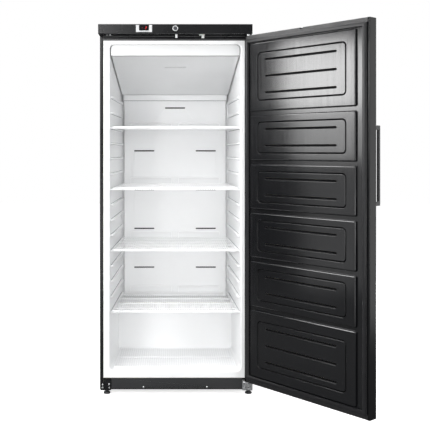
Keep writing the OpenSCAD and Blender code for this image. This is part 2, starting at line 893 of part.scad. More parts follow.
placed() outer_shell();
placed() back_panel();
placed() rear_grille();
placed() compartment_wall();
placed() foam_core();
placed() inner_liner();
placed() front_rail();
placed() plinth();
placed() plinth_screws();
placed() base_pan();
placed() canopy();
placed() controller_bezel();
placed() display_window();
placed() controller_body();
placed() key_down();
placed() key_set();
placed() key_up();
placed() lock_escutcheon();
placed() lock_case();
placed() lock_barrel();
placed() lock_bolt();
placed() switch_housing();
placed() switch_lever();
placed() evaporator_fascia();
placed() evaporator_cover();
placed() cover_lip();
placed() duct_panel();
placed() evaporator_coil();
placed() fan_motor();
placed() fan_blade();
placed() shelf_1();
placed() shelf_2();
placed() shelf_3();
placed() shelf_4();
placed() floor_grid();
placed() compressor();
placed() condenser();
placed() drip_tray();
placed() mains_inlet();
placed() foot_plates();
placed() hinge_bracket_bottom();
placed() hinge_bracket_top();
placed() hinge_pins();
placed() bracket_screws();
placed() foot_front_left();
placed() foot_front_right();
placed() foot_rear_left();
placed() foot_rear_right();
placed() swung() door_skin();
placed() swung() door_foam();
placed() swung() door_liner();
placed() swung() door_gasket();
placed() swung() door_top_cap();
placed() swung() door_bottom_cap();
placed() swung() hinge_bushes();
placed() swung() handle_bar();
placed() swung() handle_standoffs();
placed() swung() handle_screws();
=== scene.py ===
import json
import math

import bpy
import bmesh
from mathutils import Matrix, Vector
from mathutils.geometry import tessellate_polygon


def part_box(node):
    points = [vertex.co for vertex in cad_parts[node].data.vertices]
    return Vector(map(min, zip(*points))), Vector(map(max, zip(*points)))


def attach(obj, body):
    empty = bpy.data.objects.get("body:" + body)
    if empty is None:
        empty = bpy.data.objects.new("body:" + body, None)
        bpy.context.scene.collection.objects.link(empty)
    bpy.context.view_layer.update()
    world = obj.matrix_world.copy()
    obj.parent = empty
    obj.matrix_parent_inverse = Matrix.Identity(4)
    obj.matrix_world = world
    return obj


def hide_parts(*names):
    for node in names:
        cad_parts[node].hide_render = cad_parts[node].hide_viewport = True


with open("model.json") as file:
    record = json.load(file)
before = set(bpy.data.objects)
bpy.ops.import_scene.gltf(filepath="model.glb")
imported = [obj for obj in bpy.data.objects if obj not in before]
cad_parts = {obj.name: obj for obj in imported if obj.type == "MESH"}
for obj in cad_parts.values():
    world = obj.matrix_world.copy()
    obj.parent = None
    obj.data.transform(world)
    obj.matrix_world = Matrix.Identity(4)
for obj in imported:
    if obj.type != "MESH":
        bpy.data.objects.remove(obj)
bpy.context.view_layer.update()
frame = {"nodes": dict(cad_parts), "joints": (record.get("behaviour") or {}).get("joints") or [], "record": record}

# ---------------------------------------------------------------- places, in millimetres
# Everything is drawn in the cabinet's own millimetres: X from the cabinet's middle, Y from the
# canopy's face towards the back, Z from the floor. The door is drawn closed and swung open.
MM = 0.001
NODES = frame["nodes"]


def cab_box(node):
    low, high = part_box(node)
    return [tuple((v - o) / MM for v, o in zip(p, ORIGIN)) for p in (low, high)]


_low, _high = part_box("canopy")
ORIGIN = ((_low.x + _high.x) / 2, _low.y, 0.0)
PLACE = Matrix.Translation(ORIGIN) @ Matrix.Diagonal((MM, MM, MM, 1))
HINGE = next(j for j in frame["joints"] if j["name"] == "door_hinge")
HINGE_X, HINGE_Y = [(HINGE["pos_m"][i] - ORIGIN[i]) / MM for i in (0, 1)]
OPEN_ANGLE = -math.radians(HINGE["range_deg"][0])
SWUNG = (PLACE @ Matrix.Translation((HINGE_X, HINGE_Y, 0)) @ Matrix.Rotation(OPEN_ANGLE, 4, "Z")
         @ Matrix.Translation((-HINGE_X, -HINGE_Y, 0)))

CANOPY = cab_box("canopy")
SHELL = cab_box("outer_shell")
LINER = cab_box("inner_liner")
FRONT, BACK = SHELL[0][1], SHELL[1][1]
HALF = SHELL[1][0]
DOOR_LOW, DOOR_HIGH = (corner[2] for corner in cab_box("door_skin"))
DOOR_HALF = HALF - 7.5
DOOR_T = 48.0  # the door's thickness, without its raised panels
SHEET = 1.2  # the thickness of bent sheet
SHELF_TOP, SHELF_PITCH = 1369.0, 316.5  # the top shelf's upper side, and the step to the next one
WELD = 0.02  # points closer than this become one


# ---------------------------------------------------------------- mesh building
def arc(cx, cy, r, a0, a1, n):
    return [(cx + r * math.cos(a0 + (a1 - a0) * i / n), cy + r * math.sin(a0 + (a1 - a0) * i / n))
            for i in range(n + 1)]


def round_rect(x0, x1, z0, z1, r, n=6):
    """A rectangle with round corners, as a closed loop of 4 * (n + 1) points."""
    q = math.pi / 2
    r = max(r, 0.01)  # so that no corner's points fall together
    return (arc(x1 - r, z0 + r, r, -q, 0, n) + arc(x1 - r, z1 - r, r, 0, q, n)
            + arc(x0 + r, z1 - r, r, q, 2 * q, n) + arc(x0 + r, z0 + r, r, 2 * q, 3 * q, n))


def rounded_path(points, r, n=5, closed=False):
    """The path through these points with its corners rounded, in 2D or 3D."""
    pts = [Vector(p) for p in points]
    out = []
    count = len(pts)
    for i, p in enumerate(pts):
        if not closed and i in (0, count - 1):
            out.append(p)
            continue
        a, b = pts[i - 1] - p, pts[(i + 1) % count] - p
        angle = a.angle(b)
        reach = 0
        if angle < 3.13:
            reach = min(r / math.tan(angle / 2), a.length * 0.49, b.length * 0.49)
        if reach < 1e-6:
            out.append(p)
            continue
        s, e = p + a.normalized() * reach, p + b.normalized() * reach
        for k in range(n + 1):
            t = k / n
            out.append(s * (1 - t) ** 2 + p * 2 * t * (1 - t) + e * t * t)
    return out


class Shape:
    """The vertices and faces of one piece."""

    def __init__(self):
        self.v, self.f, self.m = [], [], []

    def add(self, verts, faces, mat=0):
        base = len(self.v)
        self.v += [tuple(p) for p in verts]
        self.f += [tuple(base + i for i in f) for f in faces]
        self.m += [mat] * len(faces)

    def loft(self, loops, closed=True, caps=(False, False), mat=0):
        n = len(loops[0])
        verts = [p for loop in loops for p in loop]
        faces = []
        for k in range(len(loops) - 1):
            for i in range(n if closed else n - 1):
                j = (i + 1) % n
                faces.append((k * n + i, k * n + j, (k + 1) * n + j, (k + 1) * n + i))
        if caps[0]:
            faces.append(tuple(reversed(range(n))))
        if caps[1]:
            faces.append(tuple((len(loops) - 1) * n + i for i in range(n)))
        self.add(verts, faces, mat)

    def box(self, low, high, r, n=2):
        """A box whose edges are all rounded by r."""
        r = min(r, *(0.49 * (h - l) for l, h in zip(low, high)))
        loops = []
        for k in range(n + 1):
            a = math.pi / 2 * k / n
            d = r * (1 - math.sin(a))
            loops.append((low[1] + r * (1 - math.cos(a)), d))
        loops += [(high[1] - (y - low[1]), d) for y, d in reversed(loops)]
        self.loft([[(x, y, z) for x, z in
                    round_rect(low[0] + d, high[0] - d, low[2] + d, high[2] - d,
                               max(r - d, 0.02), n)] for y, d in loops], caps=(True, True))

    def tube(self, path, r, sides=8, closed=False, mat=0):
        """A round wire along a path."""
        pts = [Vector(p) for p in path]
        n = len(pts)
        up = None
        loops = []
        for i, p in enumerate(pts):
            before = pts[i - 1] if closed or i > 0 else None
            after = pts[(i + 1) % n] if closed or i < n - 1 else None
            t = (p if after is None else after) - (p if before is None else before)
            t.normalize()
            if up is None:
                up = t.cross(Vector((0.31, 0.52, 0.79))).normalized()
            up = (up - t * up.dot(t)).normalized()
            side = t.cross(up)
            stretch = 1.0
            if before is not None and after is not None:
                a, b = (p - before).normalized(), (after - p).normalized()
                stretch = 1 / max(0.5, math.cos(a.angle(b) / 2)) if a.dot(b) < 0.99999 else 1.0
            wide = 1 + (stretch - 1) * 0.5
            loops.append([p + (up * math.cos(w) + side * math.sin(w)) * r * wide
                          for w in [2 * math.pi * k / sides for k in range(sides)]])
        if closed:
            loops.append(loops[0])
        else:
            ends = []
            for i, d in ((0, pts[0] - pts[1]), (n - 1, pts[-1] - pts[-2])):
                d = d.normalized() * r * 0.45
                c = pts[i]
                ends.append([c + d + (q - c) * 0.55 for q in loops[i]])
            loops = [ends[0]] + loops + [ends[1]]
        self.loft(loops, caps=(not closed, not closed), mat=mat)

    def lathe(self, profile, place, n, caps=(False, False)):
        """A turned shape: (radius, height) pairs about local Z, put in place by a matrix."""
        loops = [[place @ Vector((r * math.cos(w), r * math.sin(w), h))
                  for w in [2 * math.pi * k / n for k in range(n)]] for r, h in profile]
        self.loft(loops, caps=caps)

    def fill(self, outer, holes, place):
        """A flat face with holes, from 2D loops that place turns into 3D points."""
        loops = [[Vector((p[0], p[1], 0)) for p in loop] for loop in [outer, *holes]]
        tris = tessellate_polygon(loops)
        flat = [p for loop in loops for p in loop]
        self.add([place(p.x, p.y) for p in flat], [tuple(t) for t in tris])

    def band(self, path, t, place):
        """A strip of sheet, t thick, along a 2D path. place gives the 3D points of its edges."""
        pts = [Vector(p) for p in path]
        inner = []
        for i, p in enumerate(pts):
            a = (p - pts[i - 1]).normalized() if i else None
            b = (pts[i + 1] - p).normalized() if i < len(pts) - 1 else None
            d = ((a or b) + (b or a)).normalized()
            normal = Vector((-d.y, d.x))
            k = 1.0 if a is None or b is None else 1 / max(0.3, math.sqrt((1 + a.dot(b)) / 2))
            inner.append(p + normal * t * k)
        ring = pts + inner[::-1]
        self.loft([[place(p.x, p.y, s) for p in ring] for s in (0, 1)])
        n = len(pts)
        for s in (0, 1):
            verts = [place(p.x, p.y, s) for p in pts] + [place(p.x, p.y, s) for p in inner]
            self.add(verts, [(i, i + 1, n + i + 1, n + i) for i in range(n - 1)])

    def make(self, name, slot=None, finish=None, body="cabinet", stands_for=(), sharp=32, thick=0.0,
             cut=None):
        """Builds the object, puts it in its place and makes it ride on its body.

        finish names its materials where they aren't just the slot's own. thick gives a surface the
        thickness of a sheet, to the side of its sign. cut is done to the mesh before that."""
        bm = bmesh.new()
        verts = [bm.verts.new(p) for p in self.v]
        for f, m in zip(self.f, self.m):
            if len(set(f)) < 3:
                continue
            try:
                face = bm.faces.new([verts[i] for i in f])
                face.material_index = m
            except ValueError:  # the face is there already
                pass
        bmesh.ops.remove_doubles(bm, verts=bm.verts, dist=WELD)
        bmesh.ops.dissolve_degenerate(bm, dist=1e-4, edges=bm.edges)
        if cut:
            cut(bm)
        bmesh.ops.recalc_face_normals(bm, faces=bm.faces)
        for e in bm.edges:
            e.smooth = len(e.link_faces) == 2 and e.calc_face_angle(0) < math.radians(sharp)
        for f in bm.faces:
            f.smooth = True
        mesh = bpy.data.meshes.new(name)
        bm.to_mesh(mesh)
        bm.free()
        mesh.transform(SWUNG if body == "door" else PLACE)
        obj = bpy.data.objects.new(name, mesh)
        bpy.context.scene.collection.objects.link(obj)
        for m in finish or [slot]:
            mesh.materials.append(MAT[m])
        if thick:
            mod = obj.modifiers.new("thick", "SOLIDIFY")
            mod.thickness = abs(thick) * MM
            mod.offset = -1 if thick > 0 else 1
            mod.use_even_offset = True
        obj.modifiers.new("normals", "WEIGHTED_NORMAL").keep_sharp = True
        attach(obj, body)
        if stands_for:
            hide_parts(*stands_for)


# ---------------------------------------------------------------- materials
def shader_node(tree, kind, inputs=None, **settings):
    n = tree.nodes.new(kind)
    for k, v in settings.items():
        setattr(n, k, v)
    for k, v in (inputs or {}).items():
        n.inputs[k].default_value = v
    return n


def material(name, color, rough, metal=0.0, grain=(900, 0.15, 0.02), mottle=(6, 0.08),
             rough_mix=0.06, streak=None, coat=0.0, spec=0.5, dust=None, subsurface=0.0,
             emission=None):
    """A procedural finish.

    grain: scale per metre, bump strength and bump distance in mm. mottle: scale and strength of the
    slow changes in colour. rough_mix: how far the roughness strays. streak: scales per axis and
    strength of a drawn grain. dust: scale, strength and colour of lighter flecks, such as handling
    marks or a cast surface. emission: colour and strength."""
    m = bpy.data.materials.new(name)
    m.use_nodes = True
    t = m.node_tree
    bsdf = t.nodes["Principled BSDF"]
    link = t.links.new

    def node(*args, **settings):
        return shader_node(t, *args, **settings)

    def noise(vector, scale, detail, roughness):
        n = node("ShaderNodeTexNoise", {"Scale": scale, "Detail": detail, "Roughness": roughness})
        link(vector, n.inputs["Vector"])
        return n.outputs["Fac"]

    def remap(value, from_low, from_high, to_low, to_high):
        n = node("ShaderNodeMapRange", {"From Min": from_low, "From Max": from_high,
                                        "To Min": to_low, "To Max": to_high})
        link(value, n.inputs["Value"])
        return n.outputs["Result"]

    coord = node("ShaderNodeTexCoord").outputs["Object"]
    slow = noise(coord, mottle[0], 4.0, 0.55)
    tint = node("ShaderNodeMix", {"Factor": 1.0, "A": (*color, 1)}, data_type="RGBA",
                blend_type="MULTIPLY")
    link(remap(slow, 0.3, 0.7, 1 - mottle[1], 1 + mottle[1]), tint.inputs["B"])
    out_color = tint.outputs["Result"]
    if dust:
        over = node("ShaderNodeMix", {"B": (*dust[2], 1)}, data_type="RGBA")
        link(remap(noise(coord, dust[0], 8.0, 0.7), 0.55, 0.75, 0.0, dust[1]),
             over.inputs["Factor"])
        link(out_color, over.inputs["A"])
        out_color = over.outputs["Result"]
    link(out_color, bsdf.inputs["Base Color"])

    fine = noise(coord, grain[0], 3.0, 0.6)
    height, wear = fine, slow
    if streak:
        stretch = node("ShaderNodeMapping", {"Scale": streak[:3]})
        link(coord, stretch.inputs["Vector"])
        wear = noise(stretch.outputs["Vector"], 1.0, 5.0, 0.6)
        both = node("ShaderNodeMix", {"Factor": streak[3]}, data_type="FLOAT")
        link(fine, both.inputs["A"])
        link(wear, both.inputs["B"])
        height = both.outputs["Result"]
    link(remap(wear, 0.3, 0.7, max(0.03, rough - rough_mix), min(1.0, rough + rough_mix)),
         bsdf.inputs["Roughness"])
    bump = node("ShaderNodeBump", {"Strength": grain[1], "Distance": grain[2] * MM})
    link(height, bump.inputs["Height"])
    link(bump.outputs["Normal"], bsdf.inputs["Normal"])
    values = {"Metallic": metal, "Specular IOR Level": spec, "Coat Weight": coat,
              "Coat Roughness": 0.08, "Subsurface Weight": subsurface}
    if emission:
        values |= {"Emission Color": (*emission[0], 1), "Emission Strength": emission[1]}
    for key, value in values.items():
        bsdf.inputs[key].default_value = value
    return m


WHITE_DUST = (0.35, 0.35, 0.36)
FINISHES = {
    "body_black": dict(color=(0.006, 0.0063, 0.007), rough=0.27, grain=(1400, 0.35, 0.06),
        mottle=(3, 0.12), spec=0.3, dust=(140, 0.03, WHITE_DUST)),
    "galvanised_steel": dict(color=(0.46, 0.48, 0.50), rough=0.42, metal=1.0,
        grain=(260, 0.3, 0.05), mottle=(60, 0.18), rough_mix=0.14),
    "foam": dict(color=(0.72, 0.66, 0.40), rough=0.9, grain=(700, 0.8, 0.3), mottle=(40, 0.12)),
    "liner_white": dict(color=(0.85, 0.855, 0.86), rough=0.34, grain=(700, 0.25, 0.06),
        mottle=(2, 0.015), rough_mix=0.05, spec=0.4),
    "panel_white": dict(color=(0.85, 0.855, 0.86), rough=0.40, grain=(1100, 0.3, 0.05),
        mottle=(3, 0.02), rough_mix=0.05),
    "cover_grey": dict(color=(0.79, 0.795, 0.80), rough=0.36, grain=(800, 0.25, 0.06),
        mottle=(3, 0.03), rough_mix=0.05),
    "rail_grey": dict(color=(0.045, 0.046, 0.048), rough=0.35, grain=(1200, 0.3, 0.05)),
    "screw_steel": dict(color=(0.62, 0.63, 0.64), rough=0.28, metal=1.0, grain=(1500, 0.3, 0.03),
        mottle=(90, 0.1), rough_mix=0.1),
    "bracket_steel": dict(color=(0.66, 0.67, 0.68), rough=0.30, metal=1.0, grain=(900, 0.3, 0.03),
        mottle=(40, 0.1), rough_mix=0.12, streak=(30, 900, 900, 0.7)),
    "bezel_grey": dict(color=(0.47, 0.475, 0.48), rough=0.45, grain=(2600, 0.5, 0.05),
        mottle=(20, 0.03)),
    "display_black": dict(color=(0.004, 0.004, 0.005), rough=0.16, grain=(400, 0.05, 0.01),
        rough_mix=0.03, spec=0.3),
    "plastic_black": dict(color=(0.010, 0.010, 0.011), rough=0.5, grain=(2200, 0.5, 0.06),
        mottle=(20, 0.08)),
    "key_grey": dict(color=(0.50, 0.51, 0.52), rough=0.6, grain=(2600, 0.5, 0.05)),
    "chrome": dict(color=(0.74, 0.75, 0.76), rough=0.32, metal=1.0, grain=(900, 0.3, 0.02),
        streak=(1200, 30, 1200, 0.6)),
    "zinc": dict(color=(0.07, 0.072, 0.078), rough=0.5, metal=0.9, grain=(500, 0.5, 0.08),
        mottle=(60, 0.12)),
    "nylon_white": dict(color=(0.86, 0.86, 0.85), rough=0.45, grain=(1600, 0.3, 0.04),
        subsurface=0.05),
    "coil_aluminium": dict(color=(0.62, 0.64, 0.66), rough=0.35, metal=1.0, grain=(600, 0.3, 0.04),
        mottle=(30, 0.1)),
    "wire_white": dict(color=(0.95, 0.955, 0.96), rough=0.35, grain=(900, 0.3, 0.05),
        mottle=(12, 0.03)),
    "compressor_black": dict(color=(0.018, 0.018, 0.02), rough=0.35, grain=(500, 0.5, 0.1),
        mottle=(20, 0.15), coat=0.2, dust=(60, 0.12, WHITE_DUST)),
    "condenser_black": dict(color=(0.016, 0.016, 0.018), rough=0.42, grain=(700, 0.4, 0.08),
        mottle=(12, 0.15), dust=(90, 0.12, WHITE_DUST)),
    "tray_plastic": dict(color=(0.66, 0.64, 0.56), rough=0.5, grain=(900, 0.4, 0.08),
        subsurface=0.05),
    "foot_plastic": dict(color=(0.035, 0.035, 0.037), rough=0.55, grain=(1600, 0.5, 0.06)),
    "door_liner_black": dict(color=(0.005, 0.0052, 0.006), rough=0.16, grain=(500, 0.12, 0.03),
        mottle=(4, 0.15), rough_mix=0.04, streak=(160, 160, 5, 0.75)),
    "gasket_rubber": dict(color=(0.012, 0.012, 0.013), rough=0.34, grain=(1600, 0.4, 0.04),
        mottle=(15, 0.15), spec=0.3),
    "handle_black": dict(color=(0.018, 0.018, 0.02), rough=0.34, grain=(1500, 0.3, 0.04),
        dust=(160, 0.05, WHITE_DUST)),
    # not slots of the record: details inside pieces, and surfaces that differ from their slot
    "door_black": dict(color=(0.004, 0.0042, 0.0047), rough=0.22, grain=(1400, 0.2, 0.04),
        mottle=(3, 0.12), rough_mix=0.04, spec=0.3, dust=(140, 0.02, WHITE_DUST)),
    "led_red": dict(color=(0.35, 0.01, 0.01), rough=0.4, emission=((1.0, 0.03, 0.02), 1.1)),
    "led_dim": dict(color=(0.10, 0.006, 0.006), rough=0.4, emission=((1.0, 0.03, 0.02), 0.25)),
    # painted shade: a dark grey for the crease faces along the runner ribs
    "liner_crease": dict(color=(0.30, 0.31, 0.32), rough=0.6, grain=(900, 0.3, 0.1),
        mottle=(30, 0.25)),
    # painted shade: the dark of the trays behind the duct's slots and the cover's slot
    "duct_dark": dict(color=(0.02, 0.02, 0.022), rough=0.8, grain=(300, 0.5, 0.3),
        mottle=(20, 0.2)),
    # painted shade: a faint grey line at the sides of the duct panel
    "pale_bead": dict(color=(0.6, 0.605, 0.61), rough=0.5, grain=(700, 0.4, 0.15),
        mottle=(25, 0.1)),
    # painted shade: a near-black matte for the walls and bottoms of the door's grooves and slots
    "door_groove": dict(color=(0.0022, 0.0022, 0.0025), rough=0.6, grain=(500, 0.3, 0.05),
        mottle=(20, 0.2), spec=0.12),
    # painted shade: a darker copy of the white panel plastic for the evaporator fascia
    "fascia_shaded_white": dict(color=(0.64, 0.645, 0.65), rough=0.38, grain=(900, 0.3, 0.05),
        mottle=(3, 0.02), rough_mix=0.05),
    "plinth_black": dict(color=(0.022, 0.0225, 0.024), rough=0.36, grain=(1400, 0.35, 0.06),
        mottle=(3, 0.12), dust=(140, 0.04, WHITE_DUST)),
    # painted shade: the dark lines where the panels inside meet
    "sealant": dict(color=(0.14, 0.145, 0.15), rough=0.55, grain=(700, 0.4, 0.15),
        mottle=(25, 0.2)),
}
MAT = {name: material(name, **finish) for name, finish in FINISHES.items()}

SLOT_OF = {s["node"]: s["material_slot"] for s in frame["record"]["subparts"]}


# ---------------------------------------------------------------- CAD nodes that stay
def dress(node, bevel):
    """Gives a CAD node its finish and softens its edges by bevel millimetres."""
    obj = NODES[node]
    obj.data.materials.clear()
    obj.data.materials.append(MAT[SLOT_OF[node]])
    for p in obj.data.polygons:
        p.material_index = 0
        p.use_smooth = True
    obj.modifiers.new("weld", "WELD").merge_threshold = 1e-5
    if bevel:
        mod = obj.modifiers.new("edges", "BEVEL")
        mod.width = bevel * MM
        mod.segments = 2
        mod.limit_method = "ANGLE"
        mod.angle_limit = math.radians(35)
    obj.modifiers.new("normals", "WEIGHTED_NORMAL").keep_sharp = True


# how far the edges of the CAD nodes that stay are rounded, in millimetres
SOFTENED = {
    0: "back_panel compartment_wall foam_core evaporator_coil door_foam handle_screws",
    0.3: "rear_grille base_pan",
    0.4: "lock_barrel",
    0.5: "display_window fan_blade hinge_bushes",
    0.6: "plinth lock_bolt foot_front_left foot_front_right foot_rear_left foot_rear_right",
    0.7: "key_down key_set key_up switch_lever duct_panel",
    0.8: "hinge_pins door_top_cap door_bottom_cap",
    0.9: "lock_escutcheon evaporator_cover drip_tray foot_plates",
    1.0: "controller_body mains_inlet",
    1.2: "hinge_bracket_bottom hinge_bracket_top handle_standoffs",
    1.4: "evaporator_fascia",
    1.5: "lock_case switch_housing fan_motor",
    3.0: "cover_lip",
}
for size, names in SOFTENED.items():
    for name in names.split():
        dress(name, size)
NODES["plinth"].data.materials[0] = MAT["plinth_black"]
# the fascia takes the darker copy of the white: painted shade
NODES["evaporator_fascia"].data.materials[0] = MAT["fascia_shaded_white"]


def facing(x, y, z, axis):
    """A matrix that puts local Z along axis, at a point."""
    turn = Vector((0, 0, 1)).rotation_difference(Vector(axis)).to_matrix().to_4x4()
    return Matrix.Translation((x, y, z)) @ turn


# ---------------------------------------------------------------- outer shell
def outer_shell():
    s = Shape()
    low, high = SHELL[0][2], SHELL[1][2]
    seam = high - 4  # where the side sheets end under the top sheet
    for side in (-1, 1):
        path = rounded_path([(side * (HALF - 18), FRONT), (side * HALF, FRONT),
                             (side * HALF, BACK)], 2.5)
        if side > 0:
            path = path[::-1]
        s.band([(p.x, p.y) for p in path], -SHEET, lambda x, y, k: (x, y, seam if k else low))
    path = rounded_path([(-HALF, seam), (-HALF, high), (HALF, high), (HALF, seam)], 3)
    s.band([(p.x, p.y) for p in path], -SHEET, lambda x, z, k: (x, BACK if k else FRONT, z))
    s.make("outer_shell_formed", "body_black", stands_for=["outer_shell"])


# ---------------------------------------------------------------- canopy
def canopy():
    s = Shape()
    (x0, y0, z0), (x1, y1, z1) = CANOPY
    bez, esc = cab_box("controller_bezel"), cab_box("lock_escutcheon")
    r = 2.2
    rings = [(y0, r), (y0 + r * 0.3, r * 0.3), (y0 + r, 0.0), (18.0, 0.0), (y1, 0.0)]
    s.loft([[(x, y, z) for x, z in
             round_rect(x0 + d, x1 - d, z0 + d, z1 - d, max(r - d, 0.05), 3)] for y, d in rings])
    bez_z = (bez[0][2] + bez[1][2]) / 2
    window = round_rect(bez[0][0] + 4.5, bez[1][0] - 4.5, bez_z - 16.5, bez_z + 14, 0.5, 2)
    lock_r = 12.2
    lock_hole = arc((esc[0][0] + esc[1][0]) / 2, (esc[0][2] + esc[1][2]) / 2, lock_r,
                    0, 2 * math.pi, 24)[:-1]
    s.fill(round_rect(x0 + r, x1 - r, z0 + r, z1 - r, 0.05, 3), [window, lock_hole],
           lambda x, z: (x, y0, z))

    def cut(bm):
        """Opens the underside behind the front fold."""
        drop = [f for f in bm.faces if f.calc_center_median().z < z0 + 0.02
                and f.calc_center_median().y > 19]
        bmesh.ops.delete(bm, geom=drop, context="FACES")
    s.make("canopy_formed", "body_black", stands_for=["canopy"], thick=SHEET, cut=cut)


# ---------------------------------------------------------------- inner liner
OPEN_HALF, OPEN_LOW, OPEN_HIGH = 334.0, 122.0, 1785.0  # the opening: half width, bottom, top
DRAFT = 0.0345  # how fast the walls close in with depth
LINER_BACK, STEP_Y, STEP_TOP = 670.0, 495.0, 387.0  # the back; the step's front and top
LINER_R = 20  # the liner's corners, seen from the front
RIBS, RIBS_ABOVE = 15, 2  # pairs of runner ribs, and how many of them are above the top shelf


def wall_half(y):
    """Half the distance between the liner's side walls at a depth."""
    return OPEN_HALF - (y - FRONT) * DRAFT


def inner_liner():
    s = Shape()
    x1, z0, z1 = LINER[1][0], LINER[0][2], LINER[1][2]
    y = FRONT
    # the flange: its rim turned back, its flat, and the rounded mouth of the opening
    rings = [(round_rect(-x1 + d, x1 - d, z0 + d, z1 - d, 1.0, 8), depth)
             for d, depth in ((0, y + 2.5), (0, y + 0.8), (0.8, y))]
    mouth, corner, n = 7.0, 16.0, 5  # the roundings at the mouth and at the back, in n steps
    quarter = [math.pi / 2 * k / n for k in range(n + 1)]
    for a in quarter:
        d = mouth * (1 - math.sin(a))
        depth = y + mouth * (1 - math.cos(a))
        h = wall_half(depth) + d
        rings.append((round_rect(-h, h, OPEN_LOW - d, OPEN_HIGH + d, LINER_R + d, 8), depth))
    for depth in (120, 240, 360, 480, 600):
        h = wall_half(depth)
        rings.append((round_rect(-h, h, OPEN_LOW, OPEN_HIGH, LINER_R, 8), depth))
    for a in quarter:
        d = corner * (1 - math.cos(a))
        depth = LINER_BACK - corner * (1 - math.sin(a))
        h = wall_half(depth) - d
        rings.append((round_rect(-h, h, OPEN_LOW + d, OPEN_HIGH - d, LINER_R - d * 0.8, 8), depth))
    s.loft([[(x, d, z) for x, z in ring] for ring, d in rings], caps=(False, True))

    def cut(bm):
        """Takes away the part where the step is."""
        for co, no in (((0, STEP_Y, 0), (0, 1, 0)), ((0, 0, STEP_TOP), (0, 0, 1))):
            bmesh.ops.bisect_plane(bm, geom=bm.verts[:] + bm.edges[:] + bm.faces[:], plane_co=co,
                                   plane_no=no)
        drop = [f for f in bm.faces if f.calc_center_median().y > STEP_Y
                and f.calc_center_median().z < STEP_TOP]
        bmesh.ops.delete(bm, geom=drop, context="FACES")
    s.make("liner_formed", "liner_white", stands_for=["inner_liner"], thick=-2.3, cut=cut)


def liner_step():
    """The step over the machine compartment, drawn as one bent sheet."""
    s = Shape()
    floor, back = OPEN_LOW + 0.2, LINER_BACK - 0.3
    path = rounded_path([(STEP_Y - 11, floor), (STEP_Y, floor), (STEP_Y, STEP_TOP),
                         (back, STEP_TOP), (back, STEP_TOP + 14)], 11, 6)
    rows = []
    for p in path:
        h = wall_half(p.x)
        xs = [-h, -h + 2.5, -h + 8, h - 8, h - 2.5, h]
        lift = [9, 2.4, 0, 0, 2.4, 9]
        out = Vector((-1, 0)) if p.y < STEP_TOP - 12 else Vector((0, 1))
        swell = 0.35 if p.y > OPEN_LOW + 12 else 0
        rows.append([(x, p.x + out.x * k * swell, p.y + out.y * k * 0.35)
                     for x, k in zip(xs, lift)])
    s.loft(rows, closed=False)
    s.make("liner_step", "liner_white", thick=-2.0)


def runner_ribs():
    """Rounded ledges that run back from the front, each in a narrow crease whose faces are painted dark grey as
    painted shade.
    """
    s = Shape()
    below = 4.5 + 0.4  # from a shelf's upper side down to its rib: the shelf's wires, and a gap
    for i in range(RIBS):
        top = SHELF_TOP - below + (RIBS_ABOVE - i) * SHELF_PITCH / 4
        for side in (-1, 1):
            rows, creases = [], {0: [], 1: []}
            for yy, out in ((105, 0.5), (106, 6), (109, 11), (115, 13.6), (124, 14), (620, 14),
                            (634, 13.4), (641, 10), (644, 0.5)):
                w = wall_half(yy)
                rows.append([(side * (w - reach), yy, top - down) for reach, down in (
                    (-0.6, 9.0), (out * 0.72, 8.8), (out * 0.94, 7.4), (out, 4.6),
                    (out * 0.97, 1.4), (out * 0.82, 0), (-0.6, 0))])
                for k, z in ((0, top - 9.0), (1, top)):
                    d = 1 if k else -1
                    reach = 1.6 * min(1.0, out / 6)
                    creases[k].append([(side * (w - 0.05), yy, z + d * reach),
                                       (side * (w - 0.9), yy, z + d * 0.9),
                                       (side * (w - 1.7), yy, z - d * 0.05)])
            s.loft(rows, closed=False, caps=(True, True))
            # the creases take the dark grey of painted shade
            for k in (0, 1):
                s.loft(creases[k], closed=False, mat=1)
    s.make("runner_ribs", "liner_white", ["liner_white", "liner_crease"], sharp=50)


def duct_shade_trays():
    """Painted shade behind each slot of the duct panel: a shallow dark open tray where the unlit inside of the air
    duct is seen.
    """
    s = Shape()
    low, high = cab_box("duct_panel")
    back = low[1] + 2.6
    first = high[2] - 42  # the top slot; four rows of two are below it
    places = [(0, first)] + [(side * 180, first - 24 - row * 227)
                             for row in range(1, 5) for side in (-1, 1)]
    for x, z in places:
        s.loft([[(x + a, back + d, z + b) for a, b in round_rect(-w, w, -h, h, 4, 3)]
                for w, h, d in ((64, 8.5, 0.1), (64, 8.5, 6), (60, 6, 9))], caps=(False, True))
    s.make("duct_shade_trays", "plastic_black", ["duct_dark"], thick=0.8)


def cover_slot_shade_tray():
    """Painted shade behind the slot of the sloping cover: a shallow dark open tray."""
    s = Shape()
    low, high = cab_box("evaporator_cover")
    run, drop = high[1] - low[1], high[2] - low[2]
    along, across = Vector((0, run, -drop)).normalized(), Vector((0, drop, run)).normalized()
    start = Vector((0, low[1], high[2]))
    middle = start + along * (math.hypot(run, drop) * 0.27) + across * 1.0
    s.loft([[tuple(middle + Vector((a, 0, 0)) + along * b + across * d) for a, b in
             round_rect(-w, w, -h, h, 3, 3)] for w, h, d in ((60, 6, 0.2), (60, 6, 5), (57, 4, 7))],
           caps=(False, True))
    s.make("cover_slot_shade_tray", "plastic_black", ["duct_dark"], thick=0.8)


